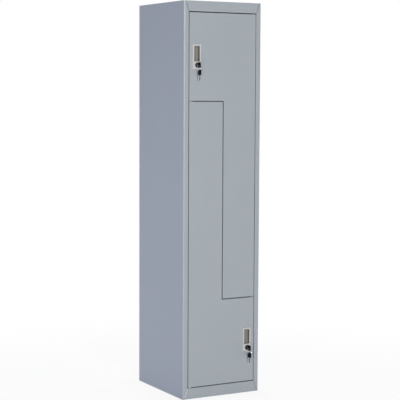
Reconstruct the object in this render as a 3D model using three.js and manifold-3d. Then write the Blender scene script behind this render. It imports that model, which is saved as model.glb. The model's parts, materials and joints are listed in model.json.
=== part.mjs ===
// A steel storage locker with two interlocking L-shaped doors, in millimetres, +Z up.
// Inside the locker group x is 0 at mid width, y is 0 on the front plane and grows to the back,
// and z is 0 on the floor. The group is shifted so that the overall box is centred on the origin.
import * as THREE from 'three';
import { mergeVertices } from 'three/addons/utils/BufferGeometryUtils.js';
import Module from 'manifold-3d';

const wasm = await Module();
wasm.setup();

// Carcass
const lockerWidth = 400;
const lockerDepth = 450;
const lockerHeight = 1800;
const sheet = 0.9;
const bendRadius = 1.3;
const frontEdgeRadius = 6.5;
const stileWidth = 25;
const topRailHeight = 47;
const bottomRailHeight = 50;
const frameReturn = 24;
const frameLip = 12;
const backFlange = 18;
const floorFlange = 20;
const endFlange = 18;
const cornerRelief = 4;
const mitreGap = 1.6;

// Clearances
const seatGap = 0.3;
const pinClearance = 0.35;
const slotClearance = 0.6;
const cutOverrun = 3;

// Z partition behind the doors
const upperWideHeight = 400;
const lowerWideHeight = 398;
const legSplit = 3.5;
const partitionFace = 28;
const partitionReturn = 12;
const bumperThickness = 5;
const bumperRadius = 4.5;
const bumperHeightShares = [0.3, 0.7];

// Doors
const doorDepth = 18;
const doorLip = 12;
const sideGap = 3;
const railGap = 4;
const splitGap = 4.4;
const doorEdgeRadius = 1.2;
const stiffenerWidth = 24;
const stiffenerFlange = 9;
const stiffenerDepth = 10;
const stiffenerEndGap = 8;

// Pivots: a pin in each door's end flanges, near the hinge edge
const pivotInset = 14;
const pivotDepth = 7;
const pinRadius = 2.5;
const pinHeadRadius = 4.5;
const pinHeadThickness = 1.2;
const pinTail = 4;
const tabThickness = 2;
const tabRadius = 6;
const tabPinTail = 0.8;
const washerRadius = 5;

// Handle moulding
const handleWidth = 45;
const handleHeight = 113.5;
const handleThickness = 5;
const handleBevel = 4;
const handleCornerMargin = 0.5;
const handleEdgeInset = 65;
const recessLeft = 7;
const recessWidth = 28;
const recessBottom = 36;
const recessHeight = 68;
const recessFloorDepth = 14;
const recessUndercut = 5;
const recessLipDepth = 1.6;
const rimThickness = 2.4;
const cupWall = 1.8;
const bossRadius = 16;
const bossRise = 1;

// Lock
const lockRise = 19.5;
const bezelRadius = 11;
const bezelThickness = 4.2;
const bezelChamfer = 1.2;
const barrelRadius = 9.2;
const barrelBack = 13;
const barrelHoleClearance = 0.4;
const plugRadius = 6;
const plugSink = 0.8;
const plugClearance = 0.3;
const plugOverhang = 0.7;
const squareSize = 7;
const nutFlats = 24;
const nutThickness = 4;
const camThickness = 2;
const camReach = 46;
const camHubRadius = 9;
const camArmRadius = 6;
const camScrewRadius = 2;
const camScrewHeadRadius = 5;
const camScrewHeadThickness = 2;
const camScrewBite = 2;

// Keys: measured from the centre of the hole in the bow
const keyHoleStandoff = 28;
const bowWidth = 24;
const bowThickness = 4;
const bowTop = 8;
const bowBottom = 15.5;
const bowShoulder = 6;
const bowHoleRadius = 3.5;
const bladeLength = 23.5;
const bladeWidth = 8.2;
const bladeThickness = 2.2;
const tangLength = 6;
const keywayClearance = 0.3;
const bittingDepthShares = [0.12, 0.26, 0.08, 0.2];
const ringRadius = 12.3;
const ringWireRadius = 0.9;

// Coat rods
const rodRadius = 8;
const rodWall = 1.2;
const rodDrop = 26;
const socketFlangeRadius = 17;
const socketFlangeThickness = 2.5;
const socketCupWall = 2;
const socketCupDepth = 12;

// Facets
const roundFacets = 32;
const smallFacets = 20;
const curveFacets = 8;
const bevelFacets = 4;
const cornerFacets = 4;
const wireFacets = 8;
const hexagonSides = 6;
const toothShare = 1 / 3;
const vertexSize = 3;
const bendSteps = 2;
const rolledEdgeSteps = 6;

// Places worked out from the sizes above
const halfSheet = sheet / 2;
const halfWidth = lockerWidth / 2;
const innerHalf = halfWidth - sheet - seatGap;
const openingHalf = halfWidth - stileWidth;
const openingTop = lockerHeight - topRailHeight;
const openingBottom = bottomRailHeight;
const upperSplit = openingTop - upperWideHeight;
const lowerSplit = openingBottom + lowerWideHeight;
const upperDoorMiddle = (openingTop - railGap + upperSplit + splitGap / 2) / 2;
const lowerDoorMiddle = (openingBottom + railGap + lowerSplit - splitGap / 2) / 2;
const backPanelFront = lockerDepth - sheet * 2 - seatGap;
const innerBack = backPanelFront - seatGap;
const partitionFront = doorDepth + bumperThickness + seatGap * 2;
const partitionHalf = partitionFace / 2;
const dividerFaceLeft = legSplit - partitionHalf;
const dividerFaceRight = legSplit + partitionHalf;
const dividerWebLeft = dividerFaceRight - sheet;
const pivotX = openingHalf - pivotInset;
const handleX = halfWidth - handleEdgeInset;
const plateFront = -handleThickness;
const handleCorner = handleBevel + handleCornerMargin;
const bossFront = plateFront - bossRise;
const bezelBack = bossFront - seatGap;
const bezelFront = bezelBack - bezelThickness;
const plugBack = barrelBack + plugOverhang;
const camFront = plugBack + seatGap;
const camBack = camFront + camThickness;
const keyReach = keyHoleStandoff + bowWidth / 2;

// Materials
const paint = new THREE.MeshStandardMaterial({ color: 0xa6acb2, roughness: 0.5, metalness: 0.25 });
const insidePaint = new THREE.MeshStandardMaterial({ color: 0x9aa0a8, roughness: 0.6, metalness: 0.2 });
const handlePlastic = new THREE.MeshStandardMaterial({ color: 0xc2c2c0, roughness: 0.45, metalness: 0 });
const blackPlastic = new THREE.MeshStandardMaterial({ color: 0x101114, roughness: 0.35, metalness: 0 });
const blackMetal = new THREE.MeshStandardMaterial({ color: 0x17181a, roughness: 0.3, metalness: 0.6 });
const zincSteel = new THREE.MeshStandardMaterial({ color: 0xb9bcbe, roughness: 0.35, metalness: 0.9 });
const keySteel = new THREE.MeshStandardMaterial({ color: 0xa8a9a6, roughness: 0.3, metalness: 0.9 });
const chrome = new THREE.MeshStandardMaterial({ color: 0xd2d4d6, roughness: 0.15, metalness: 1 });
const nylon = new THREE.MeshStandardMaterial({ color: 0xdadad4, roughness: 0.5, metalness: 0 });
const rubber = new THREE.MeshStandardMaterial({ color: 0x3a3c3e, roughness: 0.85, metalness: 0 });

// A closed geometry as a solid that can be joined and cut
function solid(geometry) {
  const bare = new THREE.BufferGeometry();
  bare.setAttribute('position', geometry.getAttribute('position').clone());
  if (geometry.index) bare.setIndex(geometry.index.clone());
  const merged = mergeVertices(bare);
  const corners = merged.index.array;
  const triangles = [];
  for (let i = 0; i < corners.length; i += vertexSize) {
    const [a, b, c] = [corners[i], corners[i + 1], corners[i + 2]];
    if (a !== b && b !== c && c !== a) triangles.push(a, b, c);
  }
  return new wasm.Manifold(new wasm.Mesh({
    numProp: vertexSize,
    vertProperties: new Float32Array(merged.getAttribute('position').array),
    triVerts: new Uint32Array(triangles),
  }));
}

// A solid's surface as a flat-shaded geometry
function surface(body) {
  const mesh = body.getMesh();
  const geometry = new THREE.BufferGeometry();
  const places = new Float32Array(mesh.vertProperties);
  geometry.setAttribute('position', new THREE.BufferAttribute(places, vertexSize));
  geometry.setIndex(new THREE.BufferAttribute(new Uint32Array(mesh.triVerts), 1));
  const flat = geometry.toNonIndexed();
  flat.computeVertexNormals();
  return flat;
}

function join(...geometries) {
  return surface(geometries.map(solid).reduce((whole, piece) => whole.add(piece)));
}

function cut(geometry, ...tools) {
  return surface(tools.map(solid).reduce((whole, tool) => whole.subtract(tool), solid(geometry)));
}

// A corner of a folded sheet's centre line
function fold(u, v, radius = bendRadius) {
  return { point: new THREE.Vector2(u, v), radius };
}

function leftOf(direction) {
  return new THREE.Vector2(-direction.y, direction.x);
}

// The points and normals along a folded centre line, with an arc at each inner corner
function foldStations(corners) {
  const origin = new THREE.Vector2();
  const stations = [];
  corners.forEach(({ point, radius }, index) => {
    const before = corners[index - 1] && point.clone().sub(corners[index - 1].point).normalize();
    const after = corners[index + 1] && corners[index + 1].point.clone().sub(point).normalize();
    if (!before || !after) {
      stations.push({ point, normal: leftOf(before || after) });
      return;
    }
    const turn = Math.atan2(before.cross(after), before.dot(after));
    const side = Math.sign(turn);
    const start = point.clone().addScaledVector(before, -radius * Math.tan(Math.abs(turn) / 2));
    const centre = start.clone().addScaledVector(leftOf(before), side * radius);
    const steps = radius > bendRadius ? rolledEdgeSteps : bendSteps;
    for (let step = 0; step <= steps; step += 1) {
      const normal = leftOf(before).rotateAround(origin, (turn * step) / steps);
      stations.push({ point: centre.clone().addScaledVector(normal, -side * radius), normal });
    }
  });
  return stations;
}

// The closed outline of a sheet folded along its centre line
function foldedSheet(corners) {
  const stations = foldStations(corners);
  const offset = (amount) => stations.map((s) => s.point.clone().addScaledVector(s.normal, amount));
  return new THREE.Shape([...offset(halfSheet), ...offset(-halfSheet).reverse()]);
}

function polygon(points) {
  return new THREE.Shape(points.map(([u, v]) => new THREE.Vector2(u, v)));
}

function extrude(shape, depth) {
  return new THREE.ExtrudeGeometry(shape, { depth, bevelEnabled: false, curveSegments: curveFacets });
}

// A plan outline (x, y) raised from low to high
function alongZ(shape, low, high) {
  return extrude(shape, high - low).translate(0, 0, low);
}

// A side outline (y, z) run from low to high
function alongX(shape, low, high) {
  const turn = new THREE.Matrix4().makeBasis(
    new THREE.Vector3(0, 1, 0),
    new THREE.Vector3(0, 0, 1),
    new THREE.Vector3(1, 0, 0),
  );
  return extrude(shape, high - low).applyMatrix4(turn).translate(low, 0, 0);
}

// The turn that stands an extruded front outline (x, z) up, running towards the front
function standUp() {
  return new THREE.Matrix4().makeBasis(
    new THREE.Vector3(1, 0, 0),
    new THREE.Vector3(0, 0, 1),
    new THREE.Vector3(0, -1, 0),
  );
}

// A front outline (x, z) run from its front to its back
function alongY(shape, front, back) {
  return extrude(shape, back - front).applyMatrix4(standUp()).translate(0, back, 0);
}

// The same with both rims rounded
function alongYRounded(shape, front, back, radius, steps) {
  const body = new THREE.ExtrudeGeometry(shape, {
    depth: back - front - radius * 2,
    bevelEnabled: true,
    bevelThickness: radius,
    bevelSize: radius,
    bevelOffset: -radius,
    bevelSegments: steps,
    curveSegments: cornerFacets,
  });
  return body.applyMatrix4(standUp()).translate(0, back - radius, 0);
}

function block(xLow, xHigh, yLow, yHigh, zLow, zHigh) {
  const box = new THREE.BoxGeometry(xHigh - xLow, yHigh - yLow, zHigh - zLow);
  return box.translate((xLow + xHigh) / 2, (yLow + yHigh) / 2, (zLow + zHigh) / 2);
}

// A block between two distances in from the outer face of one side: -1 left, 1 right
function sideBlock(side, outer, inner, yLow, yHigh, zLow, zHigh) {
  const ends = [side * (halfWidth - outer), side * (halfWidth - inner)];
  return block(Math.min(...ends), Math.max(...ends), yLow, yHigh, zLow, zHigh);
}

function postAlongZ(radius, x, y, low, high, facets = smallFacets) {
  const post = new THREE.CylinderGeometry(radius, radius, high - low, facets);
  return post.rotateX(Math.PI / 2).translate(x, y, (low + high) / 2);
}

function postAlongY(radius, x, z, front, back, facets = roundFacets) {
  const post = new THREE.CylinderGeometry(radius, radius, back - front, facets);
  return post.translate(x, (front + back) / 2, z);
}

// A closed profile of [radius, height] turned about the y axis
function turned(profile, facets = roundFacets) {
  const points = profile.map(([radius, height]) => new THREE.Vector2(radius, height));
  const ordered = THREE.ShapeUtils.area(points) > 0 ? points : points.reverse();
  return surface(solid(new THREE.LatheGeometry([...ordered, ordered[0].clone()], facets)));
}

function roundedRectangle(left, right, bottom, top, radius) {
  const shape = new THREE.Shape();
  shape.absarc(right - radius, top - radius, radius, 0, Math.PI / 2);
  shape.absarc(left + radius, top - radius, radius, Math.PI / 2, Math.PI);
  shape.absarc(left + radius, bottom + radius, radius, Math.PI, Math.PI * 1.5);
  shape.absarc(right - radius, bottom + radius, radius, Math.PI * 1.5, Math.PI * 2);
  shape.closePath();
  return shape;
}

// The two front frame members meet on a mitre from the rolled edge to the corner of the opening.
// outerZ is the rail's outer edge and innerZ its edge at the opening.
function mitreCutOfStile(side, outerZ, innerZ) {
  const x = (inset) => side * (halfWidth - inset);
  const beyond = outerZ + Math.sign(outerZ - innerZ) * cutOverrun;
  const outline = polygon([
    [x(frontEdgeRadius), beyond],
    [x(frontEdgeRadius), outerZ],
    [x(stileWidth), innerZ],
    [x(stileWidth + cutOverrun), innerZ],
    [x(stileWidth + cutOverrun), beyond],
  ]);
  return alongY(outline, -cutOverrun, frameReturn + seatGap);
}

// A rail's own outer sheet runs on to the side wall behind the rolled edge
function mitreCutOfRail(side, outerZ, innerZ) {
  const x = (inset) => side * (halfWidth - inset);
  const away = Math.sign(outerZ - innerZ);
  const beyond = outerZ + away * cutOverrun;
  const outline = polygon([
    [x(-cutOverrun), beyond],
    [x(frontEdgeRadius + mitreGap), beyond],
    [x(frontEdgeRadius + mitreGap), outerZ],
    [x(stileWidth + mitreGap), innerZ],
    [x(stileWidth + mitreGap), innerZ - away * cutOverrun],
    [x(-cutOverrun), innerZ - away * cutOverrun],
  ]);
  const sheetEdges = [outerZ - away * sheet, beyond + away * cutOverrun];
  const outerSheet = sideBlock(
    side,
    -cutOverrun * 2,
    stileWidth,
    frontEdgeRadius + seatGap,
    frameReturn + cutOverrun,
    Math.min(...sheetEdges),
    Math.max(...sheetEdges),
  );
  return cut(alongY(outline, -cutOverrun, frameReturn + seatGap), outerSheet);
}

// How far below the lock's centre the turning cam reaches where it crosses a wall at this distance
function camSweepBelow(distance) {
  const tipCentre = camReach - camArmRadius;
  const steps = 90;
  let lowest = camArmRadius;
  for (let step = 0; step <= steps; step += 1) {
    const angle = (Math.PI / 2) * (step / steps);
    const across = distance - tipCentre * Math.cos(angle);
    if (across <= camArmRadius) {
      const edge = Math.sqrt(Math.max(camArmRadius ** 2 - Math.max(across, 0) ** 2, 0));
      lowest = Math.max(lowest, tipCentre * Math.sin(angle) + edge);
    }
  }
  return lowest;
}

// The slot that the cam of a lock passes through in an upright wall that starts at insetX
function latchSlot(side, insetX, lockZ) {
  const below = camSweepBelow(handleEdgeInset - insetX) + slotClearance * 2;
  const above = camArmRadius + slotClearance * 2;
  return sideBlock(
    side,
    insetX - cutOverrun,
    insetX + cutOverrun,
    camFront - slotClearance,
    camBack + slotClearance,
    lockZ - below,
    lockZ + above,
  );
}

function sidePanel(side, lockZ) {
  const x = (inset) => side * (halfWidth - inset);
  const plan = foldedSheet([
    fold(x(stileWidth - frameLip), frameReturn - halfSheet),
    fold(x(stileWidth - halfSheet), frameReturn - halfSheet),
    fold(x(stileWidth - halfSheet), halfSheet),
    fold(x(halfSheet), halfSheet, frontEdgeRadius - halfSheet),
    fold(x(halfSheet), lockerDepth - halfSheet),
    fold(x(backFlange), lockerDepth - halfSheet),
  ]);
  return cut(
    alongZ(plan, 0, lockerHeight),
    mitreCutOfStile(side, lockerHeight, openingTop),
    mitreCutOfStile(side, 0, openingBottom),
    latchSlot(side, stileWidth, lockZ),
  );
}

// The angle along the foot of a side panel, which stands on the floor
function baseAngle(side) {
  const x = (inset) => side * (innerHalf - inset);
  const section = foldedSheet([
    fold(x(halfSheet), floorFlange),
    fold(x(halfSheet), halfSheet),
    fold(x(floorFlange), halfSheet),
  ]);
  return alongY(section, frameReturn + cornerRelief, lockerDepth - cornerRelief);
}

// A sheet with folded front and back and a flange turned down at each end
function tray(section, left, right, surfaceZ, flangeFront) {
  const flangeBack = innerBack - cornerRelief;
  const bottom = surfaceZ - endFlange;
  const top = surfaceZ - halfSheet;
  return join(
    alongX(section, left, right),
    block(left, left + sheet, flangeFront, flangeBack, bottom, top),
    block(right - sheet, right, flangeFront, flangeBack, bottom, top),
  );
}

function topPanel() {
  const section = foldedSheet([
    fold(frameReturn - halfSheet, openingTop + frameLip),
    fold(frameReturn - halfSheet, openingTop + halfSheet),
    fold(halfSheet, openingTop + halfSheet),
    fold(halfSheet, lockerHeight - halfSheet),
    fold(innerBack - halfSheet, lockerHeight - halfSheet),
    fold(innerBack - halfSheet, lockerHeight - endFlange),
  ]);
  const flangeFront = frameReturn + cornerRelief;
  const holeLow = openingTop - cutOverrun;
  return cut(
    tray(section, -innerHalf, innerHalf, lockerHeight, flangeFront),
    mitreCutOfRail(-1, lockerHeight, openingTop),
    mitreCutOfRail(1, lockerHeight, openingTop),
    postAlongZ(pinRadius + pinClearance, pivotX, pivotDepth, holeLow, openingTop + cutOverrun),
  );
}

function bottomPanel() {
  const section = foldedSheet([
    fold(floorFlange, halfSheet),
    fold(halfSheet, halfSheet),
    fold(halfSheet, openingBottom - halfSheet),
    fold(innerBack - halfSheet, openingBottom - halfSheet),
    fold(innerBack - halfSheet, openingBottom - endFlange),
  ]);
  const flangeFront = frameReturn + cornerRelief;
  const holeLow = openingBottom - cutOverrun;
  return cut(
    tray(section, -innerHalf, innerHalf, openingBottom, flangeFront),
    mitreCutOfRail(-1, 0, openingBottom),
    mitreCutOfRail(1, 0, openingBottom),
    postAlongZ(pinRadius + pinClearance, -pivotX, pivotDepth, holeLow, openingBottom + cutOverrun),
  );
}

function backPanel() {
  return block(-innerHalf, innerHalf, backPanelFront, backPanelFront + sheet, 0, lockerHeight);
}

// The side outline of a partition shelf: return, face, top and rear flange
function shelfSection(splitZ) {
  const top = splitZ + partitionHalf;
  const bottom = splitZ - partitionHalf;
  return foldedSheet([
    fold(partitionFront + partitionReturn, bottom + halfSheet),
    fold(partitionFront + halfSheet, bottom + halfSheet),
    fold(partitionFront + halfSheet, top - halfSheet),
    fold(innerBack - halfSheet, top - halfSheet),
    fold(innerBack - halfSheet, top - endFlange),
  ]);
}

// The notch that lets a partition shelf clear the lip of a front stile
function stileNotch(side, splitZ) {
  return sideBlock(
    side,
    -cutOverrun,
    stileWidth + seatGap,
    -cutOverrun,
    frameReturn + seatGap,
    splitZ - partitionFace,
    splitZ + partitionFace,
  );
}

function upperShelf() {
  const right = dividerWebLeft - seatGap;
  const flangeFront = partitionFront + partitionReturn + cornerRelief;
  return cut(
    tray(shelfSection(upperSplit), -innerHalf, right, upperSplit + partitionHalf, flangeFront),
    stileNotch(-1, upperSplit),
    block(
      dividerFaceLeft - seatGap,
      right + cutOverrun,
      partitionFront - cutOverrun,
      partitionFront + partitionReturn + seatGap,
      upperSplit - partitionFace,
      upperSplit + partitionFace,
    ),
  );
}

function lowerShelf() {
  const left = dividerFaceRight + seatGap;
  const flangeFront = partitionFront + partitionReturn + cornerRelief;
  return cut(
    tray(shelfSection(lowerSplit), left, innerHalf, lowerSplit + partitionHalf, flangeFront),
    stileNotch(1, lowerSplit),
  );
}

function divider() {
  const top = upperSplit + partitionHalf;
  const plan = foldedSheet([
    fold(dividerFaceLeft + halfSheet, partitionFront + partitionReturn),
    fold(dividerFaceLeft + halfSheet, partitionFront + halfSheet),
    fold(dividerFaceRight - halfSheet, partitionFront + halfSheet),
    fold(dividerFaceRight - halfSheet, innerBack - halfSheet),
    fold(dividerFaceRight - endFlange, innerBack - halfSheet),
  ]);
  return cut(
    alongZ(plan, lowerSplit - partitionHalf, top),
    block(
      dividerFaceRight - endFlange - cutOverrun,
      dividerWebLeft,
      innerBack - cornerRelief,
      innerBack + cutOverrun,
      top - endFlange - seatGap,
      top + cutOverrun,
    ),
  );
}

// A flat tab on a stile's return, in the gap between the doors, with a hole for a pivot pin
function hingeTab(side, splitZ) {
  const shape = new THREE.Shape();
  const root = side * (openingHalf - seatGap);
  const centre = side * pivotX;
  const start = (side * Math.PI) / 2;
  shape.moveTo(root, pivotDepth + side * tabRadius);
  shape.absarc(centre, pivotDepth, tabRadius, start, start + Math.PI);
  shape.lineTo(root, pivotDepth - side * tabRadius);
  shape.closePath();
  const low = splitZ - tabThickness / 2;
  return cut(
    alongZ(shape, low, low + tabThickness),
    postAlongZ(pinRadius + pinClearance, centre, pivotDepth, low - cutOverrun, low + cutOverrun * 2),
  );
}

function pivotWasher(x, low, high) {
  return cut(
    postAlongZ(washerRadius, x, pivotDepth, low, high),
    postAlongZ(pinRadius + pinClearance, x, pivotDepth, low - cutOverrun, high + cutOverrun),
  );
}

function bumper(side, z) {
  const x = legSplit + side * (splitGap / 2 + doorLip / 2);
  const back = partitionFront - seatGap;
  return postAlongY(bumperRadius, x, z, back - bumperThickness, back, smallFacets);
}

// A coat rod's socket: a flange on the wall with a cup, open towards the rod
function rodSocket() {
  const cupInner = rodRadius + seatGap;
  const cupOuter = cupInner + socketCupWall;
  const mouth = socketFlangeThickness + socketCupDepth;
  return turned([
    [0, 0],
    [socketFlangeRadius, 0],
    [socketFlangeRadius, socketFlangeThickness],
    [cupOuter, socketFlangeThickness],
    [cupOuter, mouth],
    [cupInner, mouth],
    [cupInner, socketFlangeThickness],
    [0, socketFlangeThickness],
  ]);
}

function coatRod(length) {
  return turned([
    [rodRadius - rodWall, 0],
    [rodRadius, 0],
    [rodRadius, length],
    [rodRadius - rodWall, length],
  ]);
}

// A rod between two walls, with a socket on each. The turned pieces run along +x from their wall.
function addCoatRod(group, name, left, right, z) {
  const y = lockerDepth / 2;
  const alongRight = -Math.PI / 2;
  const leftSocket = add(group, `${name}_rod_socket_left`, rodSocket(), nylon);
  leftSocket.rotation.z = alongRight;
  leftSocket.position.set(left, y, z);
  const rightSocket = add(group, `${name}_rod_socket_right`, rodSocket(), nylon);
  rightSocket.rotation.z = -alongRight;
  rightSocket.position.set(right, y, z);
  const inset = socketFlangeThickness + seatGap;
  const rod = add(group, `${name}_coat_rod`, coatRod(right - left - inset * 2), chrome);
  rod.rotation.z = alongRight;
  rod.position.set(left + inset, y, z);
}

// The two doors are the same L, turned half round. way is 1 for the upper door and -1 for the lower.
const upperDoor = {
  way: 1,
  free: -(openingHalf - sideGap),
  hinge: openingHalf - sideGap,
  wide: openingTop - railGap,
  leg: lowerSplit + splitGap / 2,
  stepX: legSplit + splitGap / 2,
  stepZ: upperSplit + splitGap / 2,
  handleBottom: upperDoorMiddle - handleHeight / 2,
};
const lowerDoor = {
  way: -1,
  free: openingHalf - sideGap,
  hinge: -(openingHalf - sideGap),
  wide: openingBottom + railGap,
  leg: upperSplit - splitGap / 2,
  stepX: legSplit - splitGap / 2,
  stepZ: lowerSplit - splitGap / 2,
  handleBottom: lowerDoorMiddle - handleHeight / 2,
};

function doorOutline(door, inset) {
  const shift = door.way * inset;
  return polygon([
    [door.free + shift, door.wide - shift],
    [door.hinge - shift, door.wide - shift],
    [door.hinge - shift, door.leg + shift],
    [door.stepX + shift, door.leg + shift],
    [door.stepX + shift, door.stepZ + shift],
    [door.free + shift, door.stepZ + shift],
  ]);
}

function lockCentre(door) {
  return { x: -door.way * handleX, z: door.handleBottom + lockRise };
}

// The handle's cup, as distances from the plate's left and bottom edges
const cupLeft = recessLeft - cupWall;
const cupRight = recessLeft + recessWidth + recessUndercut + cupWall;
const cupBottom = recessBottom - cupWall;
const cupTop = recessBottom + recessHeight + cupWall;

function doorPanel(door) {
  const lock = lockCentre(door);
  const plateLeft = lock.x - handleWidth / 2;
  const pinX = door.way * pivotX;
  const holes = [door.wide, door.leg].map((z) => (
    postAlongZ(pinRadius + pinClearance, pinX, pivotDepth, z - cutOverrun, z + cutOverrun)
  ));
  return cut(
    alongYRounded(doorOutline(door, 0), 0, doorDepth, doorEdgeRadius, bendSteps),
    alongY(doorOutline(door, sheet), sheet, doorDepth - sheet),
    alongY(doorOutline(door, doorLip), doorDepth - cutOverrun, doorDepth + cutOverrun),
    block(
      plateLeft + cupLeft - slotClearance,
      plateLeft + cupRight + slotClearance,
      -cutOverrun,
      cutOverrun,
      door.handleBottom + cupBottom - slotClearance,
      door.handleBottom + cupTop + slotClearance,
    ),
    postAlongY(barrelRadius + barrelHoleClearance * 2, lock.x, lock.z, -cutOverrun, cutOverrun),
    latchSlot(-door.way, stileWidth + sideGap, lock.z),
    ...holes,
  );
}

// A hat-section channel up the door's leg, behind its skin
function doorStiffener(door) {
  const middle = (door.stepX + door.hinge) / 2;
  const half = stiffenerWidth / 2;
  const foot = sheet + seatGap + halfSheet;
  const crown = sheet + seatGap + stiffenerDepth - halfSheet;
  const plan = foldedSheet([
    fold(middle - half - stiffenerFlange, foot),
    fold(middle - half, foot),
    fold(middle - half, crown),
    fold(middle + half, crown),
    fold(middle + half, foot),
    fold(middle + half + stiffenerFlange, foot),
  ]);
  const ends = [door.wide - door.way * stiffenerEndGap, door.leg + door.way * stiffenerEndGap];
  return alongZ(plan, Math.min(...ends), Math.max(...ends));
}

// A headed pin, head at the bottom and shank up the z axis from it
function pivotPin(shank) {
  const pin = turned([
    [0, 0],
    [pinHeadRadius, 0],
    [pinHeadRadius, pinHeadThickness],
    [pinRadius, pinHeadThickness],
    [pinRadius, pinHeadThickness + shank],
    [0, pinHeadThickness + shank],
  ], smallFacets);
  return pin.rotateX(Math.PI / 2);
}

// A pin whose head lies inside the door behind the flange at edgeZ, and whose shank ends at tipZ
function addPivotPin(group, name, door, edgeZ, tipZ) {
  const up = Math.sign(tipZ - edgeZ);
  const headBase = edgeZ - up * (sheet + seatGap + pinHeadThickness);
  const pin = add(group, name, pivotPin(Math.abs(tipZ - headBase) - pinHeadThickness), zincSteel);
  pin.rotation.x = up > 0 ? 0 : Math.PI;
  pin.position.set(door.way * pivotX, pivotDepth, headBase);
}

// The finger scoop, in plan: a slope from the left edge, a flat floor and a lip cut under on the right
function scoopPlan() {
  const shape = new THREE.Shape();
  const left = recessLeft;
  const right = recessLeft + recessWidth;
  const floorStartShare = 0.62;
  shape.moveTo(left, plateFront - cutOverrun);
  shape.lineTo(left, plateFront + recessLipDepth);
  shape.quadraticCurveTo(
    left + recessLipDepth,
    recessFloorDepth,
    left + recessWidth * floorStartShare,
    recessFloorDepth,
  );
  shape.lineTo(right + recessUndercut, recessFloorDepth);
  shape.lineTo(right + recessUndercut, plateFront + rimThickness);
  shape.lineTo(right, plateFront + rimThickness);
  shape.lineTo(right, plateFront - cutOverrun);
  shape.closePath();
  return shape;
}

// The moulded handle, with its plate's lower left corner at x 0, z 0
function handle() {
  const barrelHoleRadius = barrelRadius + barrelHoleClearance;
  const plateOutline = roundedRectangle(0, handleWidth, 0, handleHeight, handleCorner);
  const plate = cut(
    alongYRounded(plateOutline, plateFront, handleThickness, handleBevel, bevelFacets),
    block(-cutOverrun, handleWidth + cutOverrun, -seatGap, handleThickness + cutOverrun,
      -cutOverrun, handleHeight + cutOverrun),
  );
  const cupFront = plateFront + handleBevel;
  const cupBack = recessFloorDepth + cupWall;
  const cup = block(cupLeft, cupRight, cupFront, cupBack, cupBottom, cupTop);
  const boss = turned([
    [0, -handleBevel],
    [bossRadius, -handleBevel],
    [bossRadius, plateFront],
    [bossRadius - bossRise, bossFront],
    [0, bossFront],
  ]);
  boss.translate(handleWidth / 2, 0, lockRise);
  return cut(
    join(plate, cup, boss),
    alongZ(scoopPlan(), recessBottom, recessBottom + recessHeight),
    postAlongY(barrelHoleRadius, handleWidth / 2, lockRise, bossFront - cutOverrun, cutOverrun),
  );
}

// The lock's pieces turn about the y axis through the lock's centre
function lockBarrel() {
  const bore = plugRadius + plugClearance;
  return turned([
    [bore, bezelFront],
    [bezelRadius - bezelChamfer, bezelFront],
    [bezelRadius, bezelFront + bezelChamfer],
    [bezelRadius, bezelBack],
    [barrelRadius, bezelBack],
    [barrelRadius, barrelBack],
    [bore, barrelBack],
  ]);
}

function lockNut() {
  const front = sheet + seatGap;
  const hexagonRadius = nutFlats / 2 / Math.cos(Math.PI / hexagonSides);
  return cut(
    postAlongY(hexagonRadius, 0, 0, front, front + nutThickness, hexagonSides),
    postAlongY(barrelRadius + seatGap, 0, 0, front - cutOverrun, front + nutThickness + cutOverrun),
  );
}

function lockPlug() {
  const front = bezelFront + plugSink;
  const half = squareSize / 2;
  const bladeTip = bowBottom + bladeLength - keyHoleStandoff;
  const slotX = bladeThickness / 2 + keywayClearance;
  const slotZ = bladeWidth / 2 + keywayClearance;
  const screwTip = camBack - camScrewBite - camThickness;
  return cut(
    join(
      postAlongY(plugRadius, 0, 0, front, plugBack),
      block(-half, half, plugBack - cutOverrun, camBack, -half, half),
    ),
    block(-slotX, slotX, front - cutOverrun, bladeTip + keywayClearance, -slotZ, slotZ),
    postAlongY(camScrewRadius + seatGap, 0, 0, screwTip - seatGap, camBack + cutOverrun, smallFacets),
  );
}

// The cam hangs down from its hub at rest
function lockCam() {
  const tipCentre = -(camReach - camArmRadius);
  const shape = new THREE.Shape();
  const blend = Math.acos(camArmRadius / camHubRadius);
  shape.absarc(0, 0, camHubRadius, -blend, Math.PI + blend);
  shape.absarc(0, tipCentre, camArmRadius, Math.PI, Math.PI * 2);
  shape.closePath();
  const half = squareSize / 2 + seatGap;
  return cut(
    alongY(shape, camFront, camBack),
    block(-half, half, camFront - cutOverrun, camBack + cutOverrun, -half, half),
  );
}

function camScrew() {
  const headFront = camBack + seatGap;
  const tip = camBack - camScrewBite - camThickness;
  return turned([
    [0, tip],
    [camScrewRadius, tip],
    [camScrewRadius, headFront],
    [camScrewHeadRadius, headFront],
    [camScrewHeadRadius, headFront + camScrewHeadThickness / 2],
    [camScrewHeadRadius / 2, headFront + camScrewHeadThickness],
    [0, headFront + camScrewHeadThickness],
  ], smallFacets);
}

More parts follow.
